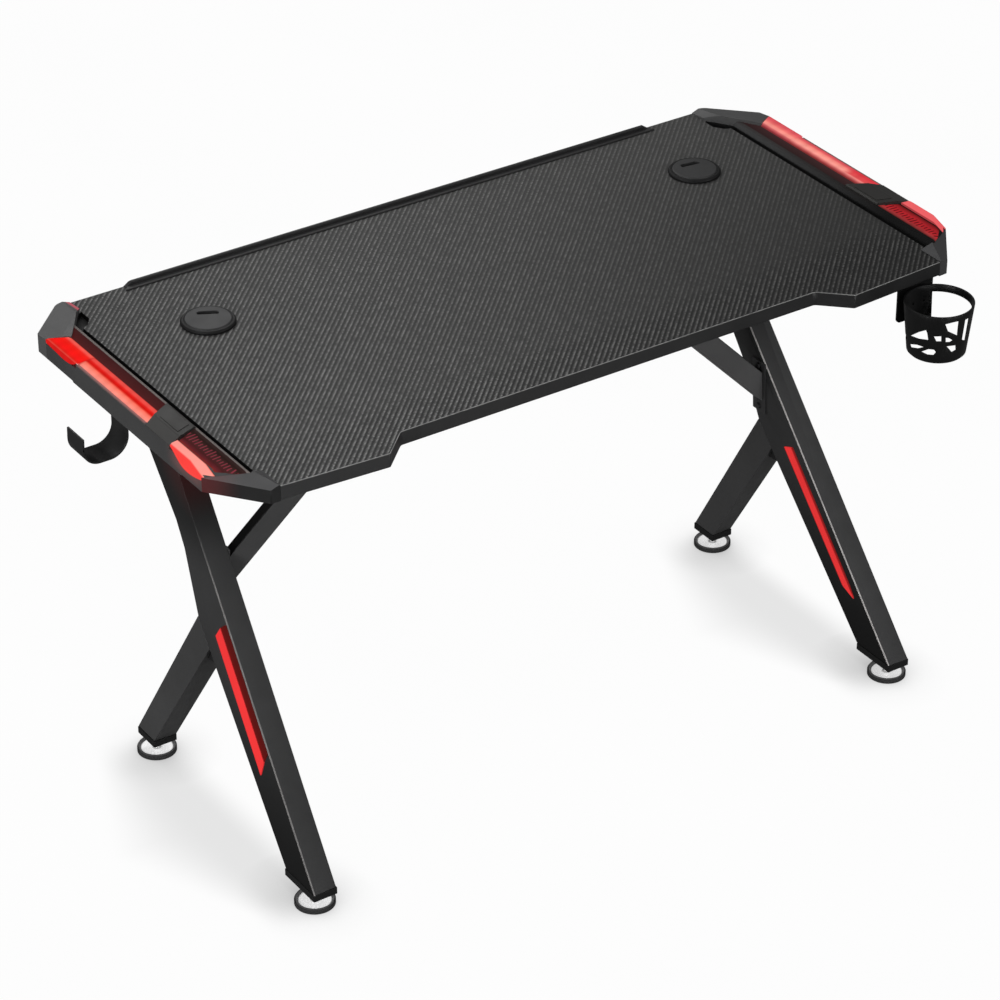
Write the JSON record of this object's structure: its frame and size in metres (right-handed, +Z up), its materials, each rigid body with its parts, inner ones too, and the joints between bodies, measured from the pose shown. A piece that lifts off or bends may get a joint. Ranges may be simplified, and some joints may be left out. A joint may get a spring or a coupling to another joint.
{
  "type": "gaming desk",
  "caption": "Gaming desk with a carbon-look top, lit red side panels, forked steel legs on levelling feet, turning cable grommets, a headset hook and a cup basket.",
  "frame": {"origin": "on the floor, under the middle of the bounding box", "axes": "+Z up, -Y towards the user, +X along the desk's length to the user's right"},
  "size_m": [1.36, 0.713, 0.7433],
  "materials": {
    "board_core": "particle board, black melamine underside",
    "carbon_laminate": "embossed carbon-look twill laminate",
    "edge_black": "satin black edge band",
    "grommet_black": "fine-grain moulded",
    "panel_black": "fine-grain moulded",
    "cap_grey": "fine-grain moulded",
    "lens_red": "frosted translucent red, lit from behind",
    "window_dark": "smoked dark red",
    "light_strip": "white flexible circuit strip",
    "frame_black": "satin black powder coat",
    "trim_red": "satin red",
    "end_cap_black": "moulded black",
    "foot_chrome": "polished",
    "foot_rubber": "matt black",
    "fastener_steel": "blackened steel",
    "cup_black": "satin black moulded",
    "controller_black": "moulded black"
  },
  "bodies": {
    "desk": {"accessory_screws": "fastener_steel", "badge_block_left": "cap_grey", "badge_block_right": "cap_grey", "board_screws": "fastener_steel", "brace_bracket_left": "frame_black", "brace_bracket_right": "frame_black", "brace_left": "frame_black", "brace_right": "frame_black", "carbon_laminate": "carbon_laminate", "cross_beam": "frame_black", "cup_basket": "cup_black", "cup_bracket": "frame_black", "cup_screws": "fastener_steel", "desktop_board": "board_core", "edge_band_front": "edge_black", "edge_band_rear": "edge_black", "frame_bolts": "fastener_steel", "front_cap_left": "cap_grey", "front_cap_right": "cap_grey", "front_lens_left": "lens_red", "front_lens_right": "lens_red", "grommet_sleeve_left": "grommet_black", "grommet_sleeve_right": "grommet_black", "headset_hook": "frame_black", "led_strip_left": "light_strip", "led_strip_right": "light_strip", "leg_cap_front_left": "end_cap_black", "leg_cap_front_right": "end_cap_black", "leg_cap_rear_left": "end_cap_black", "leg_cap_rear_right": "end_cap_black", "leg_gusset_left": "frame_black", "leg_gusset_right": "frame_black", "leg_trim_left": "trim_red", "leg_trim_right": "trim_red", "light_controller": "controller_black", "main_leg_left": "frame_black", "main_leg_right": "frame_black", "rear_cap_left": "cap_grey", "rear_cap_right": "cap_grey", "rear_leg_left": "frame_black", "rear_leg_right": "frame_black", "rear_lens_left": "lens_red", "rear_lens_right": "lens_red", "rear_rail": "edge_black", "side_housing_left": "panel_black", "side_housing_right": "panel_black", "top_bar_left": "frame_black", "top_bar_right": "frame_black", "window_strip_left": "window_dark", "window_strip_right": "window_dark"},
    "grommet_cap_left": {"grommet_cap_left": "grommet_black"},
    "grommet_cap_right": {"grommet_cap_right": "grommet_black"},
    "foot_front_left": {"foot_screw_front_left": "foot_chrome", "foot_base_front_left": "foot_rubber"},
    "foot_front_right": {"foot_screw_front_right": "foot_chrome", "foot_base_front_right": "foot_rubber"},
    "foot_rear_left": {"foot_screw_rear_left": "foot_chrome", "foot_base_rear_left": "foot_rubber"},
    "foot_rear_right": {"foot_screw_rear_right": "foot_chrome", "foot_base_rear_right": "foot_rubber"}
  },
  "joints": [
    {"name": "grommet_turn_left", "type": "hinge", "parent": "desk", "child": "grommet_cap_left", "pos_m": [-0.39404, 0.1945, 0.734], "axis": [0, 0, 1], "continuous": true},
    {"name": "grommet_turn_right", "type": "hinge", "parent": "desk", "child": "grommet_cap_right", "pos_m": [0.47396, 0.1885, 0.734], "axis": [0, 0, 1], "continuous": true},
    {"name": "level_front_left", "type": "slide", "parent": "desk", "child": "foot_front_left", "axis": [0, 0, 1], "range_m": [-0.015, 0]},
    {"name": "level_front_right", "type": "slide", "parent": "desk", "child": "foot_front_right", "axis": [0, 0, 1], "range_m": [-0.015, 0]},
    {"name": "level_rear_left", "type": "slide", "parent": "desk", "child": "foot_rear_left", "axis": [0, 0, 1], "range_m": [-0.015, 0]},
    {"name": "level_rear_right", "type": "slide", "parent": "desk", "child": "foot_rear_right", "axis": [0, 0, 1], "range_m": [-0.015, 0]}
  ]
}
